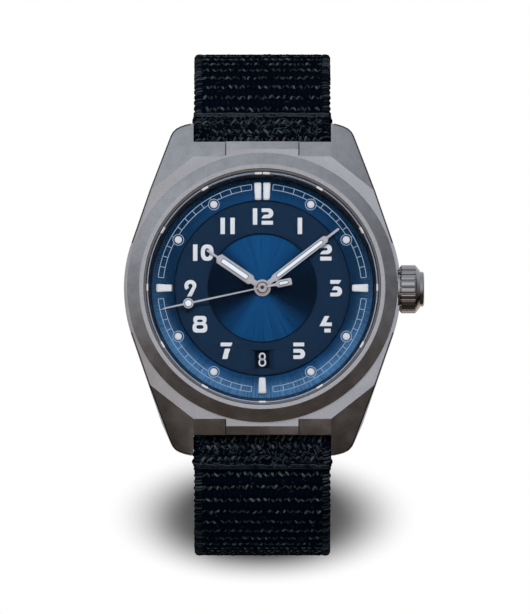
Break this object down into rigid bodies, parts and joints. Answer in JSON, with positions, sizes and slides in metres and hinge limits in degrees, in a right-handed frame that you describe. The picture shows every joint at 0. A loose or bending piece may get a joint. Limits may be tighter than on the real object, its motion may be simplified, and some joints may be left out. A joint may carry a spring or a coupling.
{
  "type": "wristwatch",
  "caption": "Round self-winding field wristwatch with date window, fluted crown, faceted lugs and an open woven strap with pin buckle and keepers.",
  "frame": {"origin": "middle of the case back's outer face, on the axis of the hands", "axes": "+X toward the crown, +Y out of the case back into the wrist, +Z toward twelve o'clock; the dial faces -Y"},
  "size_m": [0.0445, 0.0724, 0.0753],
  "materials": {
    "titanium": "satin",
    "steel": "satin",
    "brass": "satin",
    "rubber": "matte",
    "sapphire": "gloss",
    "dial_blue": "satin",
    "ring_navy": "matte",
    "lume": "matte",
    "webbing": "matte",
    "holder_resin": "matte"
  },
  "bodies": {
    "case": {"case_middle": "titanium", "bezel": "titanium", "crystal": "sapphire", "crystal_gasket": "rubber", "rehaut_ring": "steel", "dial": "dial_blue", "numeral_ring": "ring_navy", "marker_3": "lume", "marker_6": "lume", "marker_9": "lume", "marker_12_left": "lume", "marker_12_right": "lume", "case_back": "titanium", "case_back_gasket": "rubber", "crown_tube": "steel", "holder_ring": "holder_resin", "main_plate": "brass", "train_bridge": "brass", "barrel_bridge": "brass", "balance_cock": "brass", "hairspring": "steel", "rotor_bearing": "steel", "spring_bar_12": "steel", "spring_bar_6": "steel"},
    "seconds": {"fourth_wheel": "brass", "seconds_hand": "steel", "seconds_disc_lume": "lume", "seconds_tail_lume": "lume"},
    "minutes": {"centre_wheel": "brass", "cannon_pinion": "steel", "minute_hand": "steel", "minute_hand_lume": "lume"},
    "hours": {"hour_wheel": "brass", "hour_hand": "steel", "hour_hand_lume": "lume"},
    "third_wheel": {"third_wheel": "brass"},
    "barrel": {"barrel": "brass"},
    "escape_wheel": {"escape_wheel": "brass"},
    "minute_wheel": {"minute_wheel": "brass"},
    "date_disc": {"date_disc": "ring_navy"},
    "rotor": {"rotor": "steel"},
    "balance": {"balance_wheel": "brass"},
    "pallet_fork": {"pallet_fork": "steel"},
    "sliding_pinion": {"sliding_pinion": "steel"},
    "crown": {"crown": "titanium", "winding_stem": "steel", "crown_gasket": "rubber"},
    "strap_12": {"strap_12": "webbing", "buckle_bar": "steel", "fixed_keeper": "titanium"},
    "strap_6": {"strap_6": "webbing"},
    "buckle_frame": {"buckle_frame": "titanium"},
    "buckle_tongue": {"buckle_tongue": "titanium"},
    "sliding_keeper": {"sliding_keeper": "titanium"}
  },
  "joints": [
    {"name": "seconds_turn", "type": "hinge", "parent": "case", "child": "seconds", "pos_m": [0, 0, 0], "axis": [0, 1, 0], "continuous": true},
    {"name": "minutes_turn", "type": "hinge", "parent": "case", "child": "minutes", "pos_m": [0, 0, 0], "axis": [0, 1, 0], "continuous": true},
    {"name": "hours_turn", "type": "hinge", "parent": "case", "child": "hours", "pos_m": [0, 0, 0], "axis": [0, 1, 0], "continuous": true},
    {"name": "third_wheel_turn", "type": "hinge", "parent": "case", "child": "third_wheel", "pos_m": [0.00248, 0, -0.00354], "axis": [0, 1, 0], "continuous": true},
    {"name": "barrel_turn", "type": "hinge", "parent": "case", "child": "barrel", "pos_m": [-0.00356, 0, 0.00508], "axis": [0, 1, 0], "continuous": true},
    {"name": "escape_wheel_turn", "type": "hinge", "parent": "case", "child": "escape_wheel", "pos_m": [-0.00268, 0, -0.00319], "axis": [0, 1, 0], "continuous": true},
    {"name": "minute_wheel_turn", "type": "hinge", "parent": "case", "child": "minute_wheel", "pos_m": [-0.00045, 0, 0.00256], "axis": [0, 1, 0], "continuous": true},
    {"name": "date_turn", "type": "hinge", "parent": "case", "child": "date_disc", "pos_m": [0, 0, 0], "axis": [0, 1, 0], "continuous": true},
    {"name": "rotor_turn", "type": "hinge", "parent": "case", "child": "rotor", "pos_m": [0, 0, 0], "axis": [0, 1, 0], "continuous": true},
    {"name": "balance_swing", "type": "hinge", "parent": "case", "child": "balance", "pos_m": [-0.0076, 0, -0.0046], "axis": [0, 1, 0], "range_deg": [-270, 270], "stiffness_Nm_per_rad": 0.00000019},
    {"name": "pallet_swing", "type": "hinge", "parent": "case", "child": "pallet_fork", "pos_m": [-0.00484, 0, -0.00381], "axis": [0, 1, 0], "range_deg": [-5, 5]},
    {"name": "crown_turn", "type": "hinge", "parent": "case", "child": "sliding_pinion", "pos_m": [0, -0.0049, 0], "axis": [1, 0, 0], "continuous": true},
    {"name": "crown_pull", "type": "slide", "parent": "sliding_pinion", "child": "crown", "axis": [1, 0, 0], "range_m": [0, 0.0012]},
    {"name": "strap_12_swing", "type": "hinge", "parent": "case", "child": "strap_12", "pos_m": [0, -0.0034, 0.0227], "axis": [1, 0, 0], "range_deg": [0, 85]},
    {"name": "strap_6_swing", "type": "hinge", "parent": "case", "child": "strap_6", "pos_m": [0, -0.0034, -0.0227], "axis": [-1, 0, 0], "range_deg": [0, 85]},
    {"name": "buckle_swing", "type": "hinge", "parent": "strap_12", "child": "buckle_frame", "pos_m": [0, 0.05249, 0.02387], "axis": [1, 0, 0], "range_deg": [-30, 55]},
    {"name": "tongue_swing", "type": "hinge", "parent": "buckle_frame", "child": "buckle_tongue", "pos_m": [0, 0.05249, 0.02387], "axis": [1, 0, 0], "range_deg": [0, 70]},
    {"name": "sliding_keeper_slide", "type": "hinge", "parent": "strap_12", "child": "sliding_keeper", "pos_m": [0, 0.02474, 0], "axis": [1, 0, 0], "range_deg": [-8, 2]}
  ],
  "couplings": [
    {"joint": "minutes_turn", "follows": "seconds_turn", "ratio": 0.016667},
    {"joint": "hours_turn", "follows": "seconds_turn", "ratio": 0.0013889},
    {"joint": "third_wheel_turn", "follows": "seconds_turn", "ratio": -0.13333},
    {"joint": "barrel_turn", "follows": "seconds_turn", "ratio": -0.002381},
    {"joint": "escape_wheel_turn", "follows": "seconds_turn", "ratio": -12},
    {"joint": "minute_wheel_turn", "follows": "seconds_turn", "ratio": -0.0055556}
  ]
}
